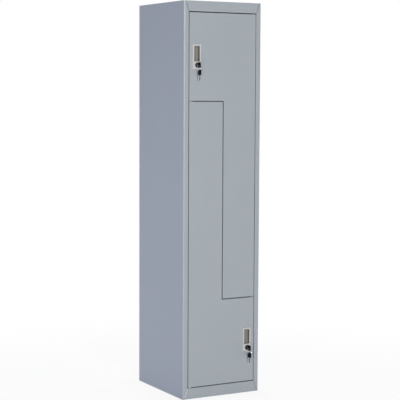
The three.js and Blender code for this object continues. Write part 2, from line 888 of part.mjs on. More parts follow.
// A key hangs down the z axis in the y z plane from the centre of the hole in its bow
function keyBow() {
  const half = bowWidth / 2;
  const outline = new THREE.Shape();
  outline.moveTo(half, bowTop - half / 2);
  outline.quadraticCurveTo(half, bowTop, half / 2, bowTop);
  outline.lineTo(-half / 2, bowTop);
  outline.quadraticCurveTo(-half, bowTop, -half, bowTop - half / 2);
  outline.lineTo(-half, bowShoulder - bowBottom);
  outline.quadraticCurveTo(-half, -bowBottom, -bowShoulder, -bowBottom);
  outline.lineTo(bowShoulder, -bowBottom);
  outline.quadraticCurveTo(half, -bowBottom, half, bowShoulder - bowBottom);
  outline.closePath();
  const tangX = bladeThickness / 2 + seatGap;
  const tangY = bladeWidth / 2 + seatGap;
  const hole = postAlongZ(bowHoleRadius, 0, 0, -bowThickness, bowThickness).rotateY(Math.PI / 2);
  return cut(
    alongX(outline, -bowThickness / 2, bowThickness / 2),
    hole,
    block(-tangX, tangX, -tangY, tangY, -bowBottom - cutOverrun, tangLength - bowBottom + seatGap),
  );
}

function keyBlade() {
  const half = bladeWidth / 2;
  const tip = -(bowBottom + bladeLength);
  const outline = new THREE.Shape();
  outline.moveTo(half, tangLength - bowBottom);
  outline.lineTo(-half, tangLength - bowBottom);
  outline.lineTo(-half, tip + half);
  outline.lineTo(-half / 2, tip);
  outline.lineTo(half / 2, tip);
  const pitch = (bladeLength - half) / (bittingDepthShares.length + 1);
  bittingDepthShares.forEach((share, index) => {
    const z = tip + half / 2 + pitch * (index + 1 / 2);
    outline.lineTo(half, z);
    outline.lineTo(half - bladeWidth * share, z + pitch * toothShare);
    outline.lineTo(half - bladeWidth * share, z + pitch / 2);
  });
  outline.lineTo(half, tip + half / 2 + pitch * (bittingDepthShares.length + 1 / 2));
  outline.closePath();
  return alongX(outline, -bladeThickness / 2, bladeThickness / 2);
}

function keyRing() {
  return new THREE.TorusGeometry(ringRadius, ringWireRadius, wireFacets, roundFacets).rotateX(Math.PI / 2);
}

// A named piece in a group
function add(group, name, geometry, material) {
  const mesh = new THREE.Mesh(geometry, material);
  mesh.name = name;
  group.add(mesh);
  return mesh;
}

function buildCarcass() {
  const carcass = new THREE.Group();
  add(carcass, 'left_side_panel', sidePanel(-1, lockCentre(upperDoor).z), paint);
  add(carcass, 'right_side_panel', sidePanel(1, lockCentre(lowerDoor).z), paint);
  add(carcass, 'left_base_angle', baseAngle(-1), insidePaint);
  add(carcass, 'right_base_angle', baseAngle(1), insidePaint);
  add(carcass, 'top_panel', topPanel(), paint);
  add(carcass, 'bottom_panel', bottomPanel(), paint);
  add(carcass, 'back_panel', backPanel(), paint);
  add(carcass, 'upper_shelf', upperShelf(), insidePaint);
  add(carcass, 'lower_shelf', lowerShelf(), insidePaint);
  add(carcass, 'divider', divider(), insidePaint);
  add(carcass, 'right_hinge_tab', hingeTab(1, lowerSplit), zincSteel);
  add(carcass, 'left_hinge_tab', hingeTab(-1, upperSplit), zincSteel);
  const tabTop = lowerSplit + tabThickness / 2;
  add(carcass, 'upper_door_washer', pivotWasher(pivotX, tabTop + seatGap, upperDoor.leg - seatGap), nylon);
  const railTop = openingBottom + seatGap;
  add(carcass, 'lower_door_bush', pivotWasher(-pivotX, railTop, lowerDoor.wide - seatGap), nylon);
  const legHeight = upperDoor.stepZ - upperDoor.leg;
  bumperHeightShares.forEach((share, index) => {
    const z = upperDoor.leg + legHeight * share;
    add(carcass, `upper_door_bumper_${index + 1}`, bumper(1, z), rubber);
    add(carcass, `lower_door_bumper_${index + 1}`, bumper(-1, z), rubber);
  });
  addCoatRod(carcass, 'upper', -innerHalf, innerHalf, openingTop - rodDrop);
  addCoatRod(carcass, 'lower', -innerHalf, dividerWebLeft - seatGap, upperSplit - partitionHalf - rodDrop);
  return carcass;
}

// What turns with the key: plug, cam, screw and the key in the lock
function buildLock(name, lock) {
  const group = new THREE.Group();
  group.position.set(lock.x, 0, lock.z);
  add(group, `${name}_lock_plug`, lockPlug(), zincSteel);
  add(group, `${name}_lock_cam`, lockCam(), zincSteel);
  add(group, `${name}_cam_screw`, camScrew(), zincSteel);
  const key = new THREE.Group();
  key.position.y = -keyHoleStandoff;
  key.rotation.x = Math.PI / 2;
  add(key, `${name}_key_blade`, keyBlade(), keySteel);
  add(key, `${name}_key_bow`, keyBow(), blackPlastic);
  group.add(key);
  return group;
}

// The ring hangs in the bow's hole, and the spare key hangs in the ring
function buildSpareKey(name, lock) {
  const group = new THREE.Group();
  group.position.set(lock.x, -keyHoleStandoff, lock.z);
  const slack = bowHoleRadius - ringWireRadius - seatGap;
  const ring = add(group, `${name}_key_ring`, keyRing(), chrome);
  ring.position.z = -slack - ringRadius;
  const key = new THREE.Group();
  key.position.z = -(slack + ringRadius) * 2;
  add(key, `${name}_spare_blade`, keyBlade(), keySteel);
  add(key, `${name}_spare_bow`, keyBow(), blackPlastic);
  group.add(key);
  return group;
}

function buildDoor(name, door) {
  const group = new THREE.Group();
  const lock = lockCentre(door);
  const tabOver = door.way * (tabThickness / 2 + tabPinTail);
  const legTip = (door.way > 0 ? lowerSplit : upperSplit) - tabOver;
  const wideTip = (door.way > 0 ? openingTop : openingBottom) + door.way * (sheet + pinTail);
  add(group, `${name}_door_panel`, doorPanel(door), paint);
  add(group, `${name}_door_stiffener`, doorStiffener(door), insidePaint);
  addPivotPin(group, `${name}_door_rail_pin`, door, door.wide, wideTip);
  addPivotPin(group, `${name}_door_tab_pin`, door, door.leg, legTip);
  const grip = add(group, `${name}_handle`, handle(), handlePlastic);
  grip.position.set(lock.x - handleWidth / 2, 0, door.handleBottom);
  const barrel = add(group, `${name}_lock_barrel`, lockBarrel(), blackMetal);
  barrel.position.set(lock.x, 0, lock.z);
  const nut = add(group, `${name}_lock_nut`, lockNut(), zincSteel);
  nut.position.set(lock.x, 0, lock.z);
  group.add(buildLock(name, lock), buildSpareKey(name, lock));
  return group;
}

const locker = new THREE.Group();
locker.add(buildCarcass(), buildDoor('upper', upperDoor), buildDoor('lower', lowerDoor));
locker.position.y = (keyReach - lockerDepth) / 2;

export default locker;
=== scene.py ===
"""Steel locker with two interlocking doors: finishes, fine pieces, light and camera."""

import json
import logging
import math
from dataclasses import dataclass, field
from enum import Enum, IntEnum

import bmesh
import bpy
from mathutils import Matrix, Vector


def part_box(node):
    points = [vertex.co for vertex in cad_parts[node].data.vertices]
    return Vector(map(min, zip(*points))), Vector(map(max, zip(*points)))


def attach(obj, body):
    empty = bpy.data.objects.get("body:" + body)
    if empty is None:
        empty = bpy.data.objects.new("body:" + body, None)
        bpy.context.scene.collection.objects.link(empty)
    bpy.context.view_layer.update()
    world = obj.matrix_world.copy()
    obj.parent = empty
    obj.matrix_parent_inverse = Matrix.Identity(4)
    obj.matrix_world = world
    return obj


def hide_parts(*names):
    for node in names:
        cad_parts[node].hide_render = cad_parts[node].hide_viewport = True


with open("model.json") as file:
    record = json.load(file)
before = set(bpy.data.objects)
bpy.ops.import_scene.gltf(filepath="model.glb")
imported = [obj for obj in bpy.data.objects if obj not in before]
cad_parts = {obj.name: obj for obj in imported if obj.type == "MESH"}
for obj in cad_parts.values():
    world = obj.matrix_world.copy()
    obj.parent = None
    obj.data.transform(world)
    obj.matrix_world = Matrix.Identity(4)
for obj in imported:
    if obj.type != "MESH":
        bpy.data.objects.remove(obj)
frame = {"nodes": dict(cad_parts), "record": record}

log = logging.getLogger("locker")

MM = 0.001

# Points closer than this are one, and faces within this many degrees are one flat.
WELD = 0.002 * MM
FLAT_ANGLE = 0.6

# Degrees between two faces past which their edge stays sharp, or is rounded.
CREASE = 34
BROKEN_EDGE = 40

# Steps of a rounded stretch of a turned profile.
ARC_STEPS = 6

# The brushed lines are this many times finer across the z axis than along it.
BRUSH_STRETCH = 25

# Sockets of the colour mix, whose names repeat.
MIX_SHARE, MIX_FIRST, MIX_SECOND, MIX_RESULT = 0, 6, 7, 2
WHITE = (1.0, 1.0, 1.0)

Colour = tuple[float, float, float]
Point = tuple[float, float, float]
Profile = list[tuple[float, float]]


def shown(red: float, green: float, blue: float) -> Colour:
    """Turns a colour as the eye reads it into the linear one that nodes take.

    Args:
        red: Red from 0 to 255.
        green: Green from 0 to 255.
        blue: Blue from 0 to 255.

    Returns:
        The linear colour.
    """

    def channel(value: float) -> float:
        """Turns one channel into its linear value."""
        share = value / 255
        return share / 12.92 if share <= 0.04045 else ((share + 0.055) / 1.055) ** 2.4

    return channel(red), channel(green), channel(blue)


class Graph:
    """A node tree that is being filled, with short ways to add and join nodes."""

    def __init__(self, tree: bpy.types.NodeTree) -> None:
        """Keeps the tree and empties it.

        Args:
            tree: The tree of a material, a group or the world.
        """
        self.tree = tree
        tree.nodes.clear()

    def add(self, kind: str, **values: object) -> bpy.types.Node:
        """Adds a node.

        Args:
            kind: Blender's name of the node's class.
            **values: Properties to set on the node.

        Returns:
            The new node.
        """
        node = self.tree.nodes.new(kind)
        for name, value in values.items():
            setattr(node, name, value)
        return node

    def join(self, source: bpy.types.NodeSocket, target: bpy.types.NodeSocket) -> None:
        """Links an output to an input."""
        self.tree.links.new(source, target)

    def noise(
        self,
        place: bpy.types.NodeSocket,
        scale: bpy.types.NodeSocket,
        detail: float = 2.0,
        roughness: float = 0.5,
    ) -> bpy.types.NodeSocket:
        """Adds a noise texture.

        Args:
            place: The place at which the noise is read.
            scale: Its features per metre.
            detail: Its octaves.
            roughness: How strong each finer octave is.

        Returns:
            The noise's value.
        """
        texture = self.add("ShaderNodeTexNoise")
        texture.inputs["Detail"].default_value = detail
        texture.inputs["Roughness"].default_value = roughness
        self.join(place, texture.inputs["Vector"])
        self.join(scale, texture.inputs["Scale"])
        return texture.outputs["Fac"]

    def blend(
        self,
        share: bpy.types.NodeSocket,
        first: Colour | bpy.types.NodeSocket,
        second: Colour,
    ) -> bpy.types.NodeSocket:
        """Mixes two colours.

        Args:
            share: The share of the second colour.
            first: The first colour, fixed or from a socket.
            second: The second colour.

        Returns:
            The mixed colour.
        """
        mix = self.add("ShaderNodeMix", data_type="RGBA")
        self.join(share, mix.inputs[MIX_SHARE])
        if isinstance(first, tuple):
            mix.inputs[MIX_FIRST].default_value = (*first, 1)
        else:
            self.join(first, mix.inputs[MIX_FIRST])
        mix.inputs[MIX_SECOND].default_value = (*second, 1)
        return mix.outputs[MIX_RESULT]


class Effect(Enum):
    """The surface effects that several finishes share."""

    GRAIN = "Fine grain"
    BRUSHING = "Brushed lines"
    # Painted shade that darkens a recess towards its floor.
    RECESS_SHADE = "Painted recess shade"


def new_group(effect: Effect, inputs: list[str], outputs: list[str]) -> bpy.types.NodeTree:
    """Makes an empty shader group with a Vector input and number sockets.

    Args:
        effect: The effect that names the group.
        inputs: The number inputs.
        outputs: The number outputs.

    Returns:
        The group's tree.
    """
    tree = bpy.data.node_groups.new(effect.value, "ShaderNodeTree")
    tree.interface.new_socket("Vector", in_out="INPUT", socket_type="NodeSocketVector")
    for way, labels in (("INPUT", inputs), ("OUTPUT", outputs)):
        for label in labels:
            tree.interface.new_socket(label, in_out=way, socket_type="NodeSocketFloat")
    return tree


def skin_group(effect: Effect, stretch: float, detail: float, roughness: float) -> None:
    """Builds a skin: its relief, Height, and its broad, faint unevenness, Cloud.

    Args:
        effect: The effect that names the group.
        stretch: How many times longer the relief is along the z axis than across it.
        detail: The relief's octaves.
        roughness: How strong each finer octave of the relief is.
    """
    tree = new_group(effect, ["Grain Scale", "Cloud Scale"], ["Height", "Cloud"])
    graph = Graph(tree)
    source = graph.add("NodeGroupInput")
    target = graph.add("NodeGroupOutput")
    place = source.outputs["Vector"]
    drawn = graph.add("ShaderNodeMapping")
    drawn.inputs["Scale"].default_value = (1, 1, 1 / stretch)
    graph.join(place, drawn.inputs["Vector"])
    grain_scale = source.outputs["Grain Scale"]
    relief = graph.noise(drawn.outputs["Vector"], grain_scale, detail, roughness)
    graph.join(relief, target.inputs["Height"])
    cloud = graph.noise(place, source.outputs["Cloud Scale"])
    graph.join(cloud, target.inputs["Cloud"])


def grain_group() -> None:
    """Builds the grain of a sprayed or moulded skin."""
    skin_group(Effect.GRAIN, stretch=1, detail=3, roughness=0.55)


def brushing_group() -> None:
    """Builds the fine lines that rolling and brushing leave along the z axis."""
    skin_group(Effect.BRUSHING, stretch=BRUSH_STRETCH, detail=2, roughness=0.5)


def recess_shade_group() -> None:
    """Builds the mask of painted shade, which darkens what lies deep in a moulding that faces the
    front.

    Share grows from zero at Shallow to one at Deep, both places on the y axis.
    """
    graph = Graph(new_group(Effect.RECESS_SHADE, ["Shallow", "Deep"], ["Share"]))
    source = graph.add("NodeGroupInput")
    target = graph.add("NodeGroupOutput")
    split = graph.add("ShaderNodeSeparateXYZ")
    grade = graph.add("ShaderNodeMapRange", interpolation_type="SMOOTHSTEP")
    graph.join(source.outputs["Vector"], split.inputs[0])
    graph.join(split.outputs["Y"], grade.inputs["Value"])
    graph.join(source.outputs["Shallow"], grade.inputs["From Min"])
    graph.join(source.outputs["Deep"], grade.inputs["From Max"])
    graph.join(grade.outputs["Result"], target.inputs["Share"])


GROUPS = {
    Effect.GRAIN: grain_group,
    Effect.BRUSHING: brushing_group,
    Effect.RECESS_SHADE: recess_shade_group,
}


def use_group(graph: Graph, effect: Effect) -> bpy.types.Node:
    """Adds a shared effect to a material.

    Args:
        graph: The material's tree.
        effect: The effect, whose group is made at its first use.

    Returns:
        The group node.
    """
    if effect.value not in bpy.data.node_groups:
        GROUPS[effect]()
    node = graph.add("ShaderNodeGroup")
    node.node_tree = bpy.data.node_groups[effect.value]
    return node


@dataclass(frozen=True)
class Finish:
    """One surface finish.

    Colours are linear. Scales count features per metre, and depth is in metres.
    """

    name: str
    slot: str
    colour: Colour
    clouded: Colour
    roughness: tuple[float, float]
    effect: Effect = Effect.GRAIN
    grain_scale: float = 900
    cloud_scale: float = 6
    depth: float = 0.00001
    strength: float = 0.3
    metallic: float = 0.0
    coat: float = 0.0
    coat_roughness: float = 0.25
    specular: float = 0.5
    # Painted shade in a recess: its darker colour and the span on the y axis over which it grows.
    recess_shade_colour: Colour | None = None
    recess_shade_span: tuple[float, float] = (0.0, 0.01)

    def material(self) -> bpy.types.Material:
        """Gives the finish's material, made at its first use.

        Returns:
            The material.
        """
        made = bpy.data.materials.get(self.name)
        if made:
            return made
        material = bpy.data.materials.new(self.name)
        material.use_nodes = True
        graph = Graph(material.node_tree)
        output = graph.add("ShaderNodeOutputMaterial")
        shader = graph.add("ShaderNodeBsdfPrincipled")
        shader.inputs["Metallic"].default_value = self.metallic
        shader.inputs["Coat Weight"].default_value = self.coat
        shader.inputs["Coat Roughness"].default_value = self.coat_roughness
        shader.inputs["Specular IOR Level"].default_value = self.specular
        graph.join(shader.outputs["BSDF"], output.inputs["Surface"])
        place = graph.add("ShaderNodeTexCoord")
        skin = use_group(graph, self.effect)
        skin.inputs["Grain Scale"].default_value = self.grain_scale
        skin.inputs["Cloud Scale"].default_value = self.cloud_scale
        graph.join(place.outputs["Object"], skin.inputs["Vector"])
        shade = graph.blend(skin.outputs["Cloud"], self.colour, self.clouded)
        # Painted shade deep in a recess.
        if self.recess_shade_colour:
            shade = self.painted_recess_shade(graph, shade, place.outputs["Object"])
        graph.join(shade, shader.inputs["Base Color"])
        gloss = graph.add("ShaderNodeMapRange")
        gloss.inputs["To Min"].default_value = self.roughness[0]
        gloss.inputs["To Max"].default_value = self.roughness[1]
        graph.join(skin.outputs["Height"], gloss.inputs["Value"])
        graph.join(gloss.outputs["Result"], shader.inputs["Roughness"])
        bump = graph.add("ShaderNodeBump")
        bump.inputs["Strength"].default_value = self.strength
        bump.inputs["Distance"].default_value = self.depth
        graph.join(skin.outputs["Height"], bump.inputs["Height"])
        graph.join(bump.outputs["Normal"], shader.inputs["Normal"])
        return material

    def painted_recess_shade(
        self, graph: Graph, shade: bpy.types.NodeSocket, place: bpy.types.NodeSocket
    ) -> bpy.types.NodeSocket:
        """Paints shade into the recess by grading the colour towards the darker one deep in the
        moulding.

        Args:
            graph: The material's tree.
            shade: The colour at the front.
            place: The place in the object's frame.

        Returns:
            The graded colour.
        """
        depth = use_group(graph, Effect.RECESS_SHADE)
        depth.inputs["Shallow"].default_value = self.recess_shade_span[0]
        depth.inputs["Deep"].default_value = self.recess_shade_span[1]
        graph.join(place, depth.inputs["Vector"])
        return graph.blend(depth.outputs["Share"], shade, self.recess_shade_colour)


PAINT = Finish(
    "powder coat outside", "paint", shown(171, 177, 182), shown(167, 173, 178), (0.4, 0.52),
    grain_scale=700, cloud_scale=3, depth=0.00003, coat=0.6,
)
INSIDE_PAINT = Finish(
    "powder coat inside", "inside_paint", shown(165, 171, 176), shown(159, 165, 170),
    (0.47, 0.62), grain_scale=600, cloud_scale=5, depth=0.00004,
)
# The recess of the handle gets painted shade, darker and warmer towards its floor.
HANDLE_PLASTIC = Finish(
    "moulded handle plastic", "handle_plastic", shown(203, 203, 203), shown(197, 196, 194),
    (0.34, 0.46), grain_scale=2600, cloud_scale=30, recess_shade_colour=shown(142, 138, 131),
    recess_shade_span=(-0.206, -0.193),
)
BLACK_PLASTIC = Finish(
    "black key plastic", "black_plastic", shown(7, 7, 9), shown(11, 11, 13), (0.4, 0.52),
    grain_scale=3000, cloud_scale=120, specular=0.08,
)
BLACK_METAL = Finish(
    "black enamelled casting", "black_metal", shown(7, 7, 9), shown(12, 12, 14), (0.4, 0.5),
    grain_scale=2200, cloud_scale=90, specular=0.08,
)
ZINC = Finish(
    "bright zinc plate", "zinc", shown(196, 199, 202), shown(176, 180, 186), (0.26, 0.4),
    grain_scale=1400, cloud_scale=140, metallic=1.0,
)
KEY_STEEL = Finish(
    "nickel-plated key blank", "key_steel", shown(164, 162, 156), shown(148, 146, 141),
    (0.24, 0.36), effect=Effect.BRUSHING, metallic=1.0,
)
CHROME = Finish(
    "bright chrome", "chrome", shown(208, 210, 213), shown(200, 202, 206), (0.08, 0.16),
    effect=Effect.BRUSHING, grain_scale=1800, depth=0.000004, strength=0.1, metallic=1.0,
)
NYLON = Finish(
    "natural nylon", "nylon", shown(218, 217, 211), shown(209, 208, 202), (0.4, 0.52),
    grain_scale=2400, cloud_scale=60,
)
RUBBER = Finish(
    "dark grey rubber", "rubber", shown(52, 53, 55), shown(62, 63, 65), (0.62, 0.78),
    grain_scale=1800, cloud_scale=80, depth=0.00003, strength=0.5,
)
FINISHES = {
    finish.slot: finish
    for finish in (
        PAINT, INSIDE_PAINT, HANDLE_PLASTIC, BLACK_PLASTIC, BLACK_METAL,
        ZINC, KEY_STEEL, CHROME, NYLON, RUBBER,
    )
}


def slot_of(node: str) -> str:
    """Looks up a CAD node's material slot in the record."""
    return next(row["material_slot"] for row in frame["record"]["subparts"] if row["node"] == node)


def body_of(node: str) -> str:
    """Looks up the body that a CAD node belongs to in the record."""
    bodies = frame["record"]["behaviour"]["bodies"]
    return next(body for body, nodes in bodies.items() if node in nodes)


def finished(shape: bmesh.types.BMesh, name: str, node: str) -> bpy.types.Object:
    """Turns a shape into a piece that stands for a CAD node, with its finish and body.

    Args:
        shape: The shape, in metres in the row's frame. It is freed.
        name: The new piece's name.
        node: The CAD node that it stands for.

    Returns:
        The new piece.
    """
    mesh = bpy.data.meshes.new(name)
    shape.to_mesh(mesh)
    shape.free()
    piece = bpy.data.objects.new(name, mesh)
    bpy.context.scene.collection.objects.link(piece)
    finish = FINISHES[slot_of(node)]
    mesh.materials.append(finish.material())
    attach(piece, body_of(node))
    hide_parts(node)
    log.info("%s stands for %s", name, node)
    return piece


def smooth_by_angle(shape: bmesh.types.BMesh, crease: float = CREASE) -> None:
    """Shades a shape smooth up to a crease angle.

    Args:
        shape: The shape.
        crease: The angle in degrees past which an edge stays sharp.
    """
    for face in shape.faces:
        face.smooth = True
    limit = math.radians(crease)
    for edge in shape.edges:
        edge.smooth = edge.calc_face_angle(math.pi) < limit


def rounded_edges(piece: bpy.types.Object, radius: float, segments: int = 2) -> None:
    """Breaks a piece's sharp edges and keeps its flats flat.

    Args:
        piece: The piece.
        radius: The width of the rounding in metres.
        segments: The steps across the rounding.
    """
    bevel = piece.modifiers.new("edge break", "BEVEL")
    bevel.width = radius
    bevel.segments = segments
    bevel.limit_method = "ANGLE"
    bevel.angle_limit = math.radians(BROKEN_EDGE)
    bevel.use_clamp_overlap = True
    bevel.harden_normals = False
    weigh = piece.modifiers.new("flats stay flat", "WEIGHTED_NORMAL")
    weigh.keep_sharp = True
    weigh.weight = 100


def fine_copy(node: str, radius: float, segments: int = 2) -> None:
    """Makes a joined and smoothly shaded copy of a CAD node, with its edges broken.

    Args:
        node: The CAD node.
        radius: The edge rounding in metres.
        segments: The steps across the rounding.
    """
    shape = bmesh.new()
    shape.from_mesh(frame["nodes"][node].data)
    bmesh.ops.remove_doubles(shape, verts=shape.verts, dist=WELD)
    bmesh.ops.dissolve_limit(
        shape, angle_limit=math.radians(FLAT_ANGLE), verts=shape.verts, edges=shape.edges,
        use_dissolve_boundaries=False, delimit=set(),
    )
    smooth_by_angle(shape)
    rounded_edges(finished(shape, f"{node}_skin", node), radius, segments)


def arc(radius: float, place: float, size: float, start: float, end: float) -> Profile:
    """Gives a rounded stretch of a profile.

    Args:
        radius: The radius at which the arc's centre lies.
        place: The centre's place along the axis.
        size: The arc's own radius.
        start: Its first angle in degrees, where 0 points outwards and 90 along the axis.
        end: Its last angle.

    Returns:
        The points.
    """
    swing = end - start
    turns = [math.radians(start + swing * step / ARC_STEPS) for step in range(ARC_STEPS + 1)]
    return [(radius + size * math.cos(turn), place + size * math.sin(turn)) for turn in turns]


def dome(radius: float, place: float, rise: float) -> Profile:
    """Gives a low dome that closes a profile.

    Args:
        radius: The dome's radius.
        place: The place of its rim along the axis.
        rise: How far its middle stands above the rim.

    Returns:
        The points, from the rim in to the axis.
    """
    return [(radius * across, place + rise * up) for across, up in arc(0, 0, 1, 0, 90)]


def sleeve(bore: float, radius: float, length: float) -> Profile:
    """Gives the closed profile of a plain tube."""
    return [(bore, 0), (radius, 0), (radius, length), (bore, length), (bore, 0)]


class Axis(IntEnum):
    """The axes of the shared frame."""

    X = 0
    Y = 1
    Z = 2


@dataclass
class Turned:
    """A round piece that stands for a CAD node and is turned about one axis of its box.

    A point of the profile is a radius and a distance from the foot. The foot is the low end of
    the box, or the high end of a flipped piece.
    """

    node: str
    axis: Axis
    flipped: bool = False
    edge_break: float = 0.15 * MM
    steps: int = 72

    def length(self) -> float:
        """Gives the node's length along the axis."""
        low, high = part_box(self.node)
        return high[self.axis] - low[self.axis]

    def build(self, profile: Profile) -> None:
        """Turns the profile about the middle of the node.

        Args:
            profile: The profile, which starts and ends on the axis or is a closed loop.
        """
        low, high = (Vector(corner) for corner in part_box(self.node))
        foot = (low + high) / 2
        foot[self.axis] = high[self.axis] if self.flipped else low[self.axis]
        along = Vector()
        along[self.axis] = -1 if self.flipped else 1
        outwards = Vector()
        outwards[self.axis - 1] = 1
        shape = bmesh.new()
        points = [
            shape.verts.new(foot + outwards * radius + along * place) for radius, place in profile
        ]
        for pair in zip(points, points[1:]):
            shape.edges.new(pair)
        bmesh.ops.spin(
            shape, geom=shape.verts[:] + shape.edges[:], cent=foot, axis=along, dvec=(0, 0, 0),
            angle=math.tau, steps=self.steps, use_merge=True,
        )
        bmesh.ops.remove_doubles(shape, verts=shape.verts, dist=WELD)
        bmesh.ops.recalc_face_normals(shape, faces=shape.faces)
        smooth_by_angle(shape)
        rounded_edges(finished(shape, f"{self.node}_turned", self.node), self.edge_break)


@dataclass
class SplitRing:
    """A key ring of flat spring wire, wound nearly twice round."""

    node: str
    turns: float = 1.9
    wire_width: float = 1.5 * MM
    wire_thickness: float = 0.75 * MM
    wire_sides: int = 14
    looseness: float = 1.04
    crease: float = 50
    steps: int = 132

    def build(self) -> None:
        """Winds the wire about the middle of the CAD ring."""
        low, high = (Vector(corner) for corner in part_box(self.node))
        middle = (low + high) / 2
        radius = (high.x - low.x) / 2 - self.wire_width / 2
        pitch = self.wire_thickness * self.looseness
        shape = bmesh.new()
        bmesh.ops.create_circle(shape, cap_ends=False, segments=self.wire_sides, radius=0.5)
        bmesh.ops.scale(shape, vec=(self.wire_width, self.wire_thickness, 1), verts=shape.verts)
        start = middle + Vector((radius, -pitch * self.turns / 2, 0))
        bmesh.ops.translate(shape, vec=start, verts=shape.verts)
        bmesh.ops.spin(
            shape, geom=shape.verts[:] + shape.edges[:], cent=middle, axis=(0, 1, 0),
            dvec=(0, pitch * self.turns / self.steps, 0), angle=math.tau * self.turns,
            steps=self.steps, use_merge=False,
        )
        bmesh.ops.holes_fill(shape, edges=[edge for edge in shape.edges if edge.is_boundary])
        bmesh.ops.recalc_face_normals(shape, faces=shape.faces)
        smooth_by_angle(shape, self.crease)
        finished(shape, f"{self.node}_windings", self.node)


@dataclass
class CoatRod:
    """One coat rod, a tube between two sockets."""

    way: str
    radius: float = 8 * MM
    wall: float = 1.2 * MM
    clearance: float = 0.3 * MM
    flange_radius: float = 17 * MM
    flange_thickness: float = 2.5 * MM
    flange_rounding: float = 1.2 * MM
    cup_wall: float = 2 * MM
    cup_fillet: float = 1.5 * MM

    def socket_profile(self, mouth: float) -> Profile:
        """Gives a socket's profile.

        Args:
            mouth: The height of the cup's mouth above the wall.

        Returns:
            The points, from the wall to the cup's floor.
        """
        top = self.flange_thickness
        inner = self.radius + self.clearance
        outer = inner + self.cup_wall
        rounding = self.flange_rounding
        fillet = self.cup_fillet
        return [
            (0, 0), (self.flange_radius, 0),
            *arc(self.flange_radius - rounding, top - rounding, rounding, 0, 90),
            *arc(outer + fillet, top + fillet, fillet, -90, -180),
            (outer, mouth), (inner, mouth), (inner, top), (0, top),
        ]

    def build(self) -> None:
        """Builds the rod and its sockets."""
        rod = Turned(f"{self.way}_coat_rod", Axis.X)
        rod.build(sleeve(self.radius - self.wall, self.radius, rod.length()))
        for side in ("left", "right"):
            socket = Turned(f"{self.way}_rod_socket_{side}", Axis.X, flipped=side == "right")
            socket.build(self.socket_profile(socket.length()))


@dataclass
class Bumpers:
    """The domed rubber bumpers that one door closes against."""

    way: str
    radius: float = 4.5 * MM
    rise: float = 1.8 * MM

    def build(self) -> None:
        """Builds both bumpers."""
        for number in (1, 2):
            bumper = Turned(f"{self.way}_door_bumper_{number}", Axis.Y, flipped=True)
            rim = bumper.length() - self.rise
            bumper.build([(0, 0), (self.radius, 0), *dome(self.radius, rim, self.rise)])


@dataclass
class Spacer:
    """A nylon washer or bush round a hinge pin."""

    node: str
    radius: float = 5 * MM
    bore: float = 2.8 * MM
    edge_break: float = 0.08 * MM

    def build(self) -> None:
        """Builds the spacer."""
        spacer = Turned(self.node, Axis.Z, edge_break=self.edge_break)
        spacer.build(sleeve(self.bore, self.radius, spacer.length()))


@dataclass
class HingePin:
    """A headed hinge pin of a door, with a chamfered tip."""

    node: str
    head_down: bool
    radius: float = 2.5 * MM
    head_radius: float = 4.5 * MM
    head_thickness: float = 1.2 * MM
    chamfer: float = 0.6 * MM

    def build(self) -> None:
        """Builds the pin."""
        pin = Turned(self.node, Axis.Z, flipped=not self.head_down)
        tip = pin.length()
        pin.build([
            (0, 0), (self.head_radius, 0), (self.head_radius, self.head_thickness),
            (self.radius, self.head_thickness), (self.radius, tip - self.chamfer),
            (self.radius - self.chamfer, tip), (0, tip),
        ])


@dataclass
class LockBarrel:
    """The lock's fixed barrel, with a rounded bezel round a dished face."""

    way: str
    bore: float = 6.3 * MM
    bezel_radius: float = 11 * MM
    bezel_thickness: float = 4.2 * MM
    bezel_rounding: float = 1.4 * MM
    rim: float = 1.2 * MM
    dish: float = 0.4 * MM
    barrel_radius: float = 9.2 * MM

    def build(self) -> None:
        """Builds the barrel."""
        barrel = Turned(f"{self.way}_lock_barrel", Axis.Y)
        back = barrel.length()
        shoulder = self.bezel_radius - self.bezel_rounding
        barrel.build([
            (self.bore, self.dish), (shoulder - self.rim, 0),
            *arc(shoulder, self.bezel_rounding, self.bezel_rounding, -90, 0),
            (self.bezel_radius, self.bezel_thickness), (self.barrel_radius, self.bezel_thickness),
            (self.barrel_radius, back), (self.bore, back), (self.bore, self.dish),
        ])


@dataclass
class CamScrew:
    """The screw that holds the cam, with a domed head."""

    way: str
    radius: float = 2 * MM
    head_radius: float = 5 * MM
    head_thickness: float = 2 * MM
    rise: float = 1.2 * MM

    def build(self) -> None:
        """Builds the screw."""
        screw = Turned(f"{self.way}_cam_screw", Axis.Y)
        head = screw.length() - self.head_thickness
        rim = screw.length() - self.rise
        screw.build([
            (0, 0), (self.radius, 0), (self.radius, head), (self.head_radius, head),
            *dome(self.head_radius, rim, self.rise),
        ])


@dataclass
class Carcass:
    """The welded carcass with its partition, rods, hinge tabs and bumpers."""

    sheets: tuple[str, ...] = (
        "left_side_panel", "right_side_panel", "top_panel", "bottom_panel", "back_panel",
        "left_base_angle", "right_base_angle", "upper_shelf", "lower_shelf", "divider",
        "right_hinge_tab", "left_hinge_tab",
    )
    spacers: tuple[str, ...] = ("upper_door_washer", "lower_door_bush")
    sheet_break: float = 0.12 * MM

    def build(self) -> None:
        """Builds and dresses every piece of the carcass."""
        for node in self.sheets:
            fine_copy(node, self.sheet_break)
        for node in self.spacers:
            Spacer(node).build()
        for way in ("upper", "lower"):
            Bumpers(way).build()
            CoatRod(way).build()


@dataclass
class Door:
    """One L-shaped door with its stiffener, pivots, handle and lock case."""

    way: str
    sheet_break: float = 0.12 * MM
    nut_break: float = 0.2 * MM
    handle_break: float = 0.5 * MM

    def build(self) -> None:
        """Builds and dresses every piece of the door."""
        for part in ("door_panel", "door_stiffener"):
            fine_copy(f"{self.way}_{part}", self.sheet_break)
        HingePin(f"{self.way}_door_rail_pin", head_down=self.way == "upper").build()
        HingePin(f"{self.way}_door_tab_pin", head_down=self.way == "lower").build()
        LockBarrel(self.way).build()
        fine_copy(f"{self.way}_lock_nut", self.nut_break)
        fine_copy(f"{self.way}_handle", self.handle_break, segments=3)


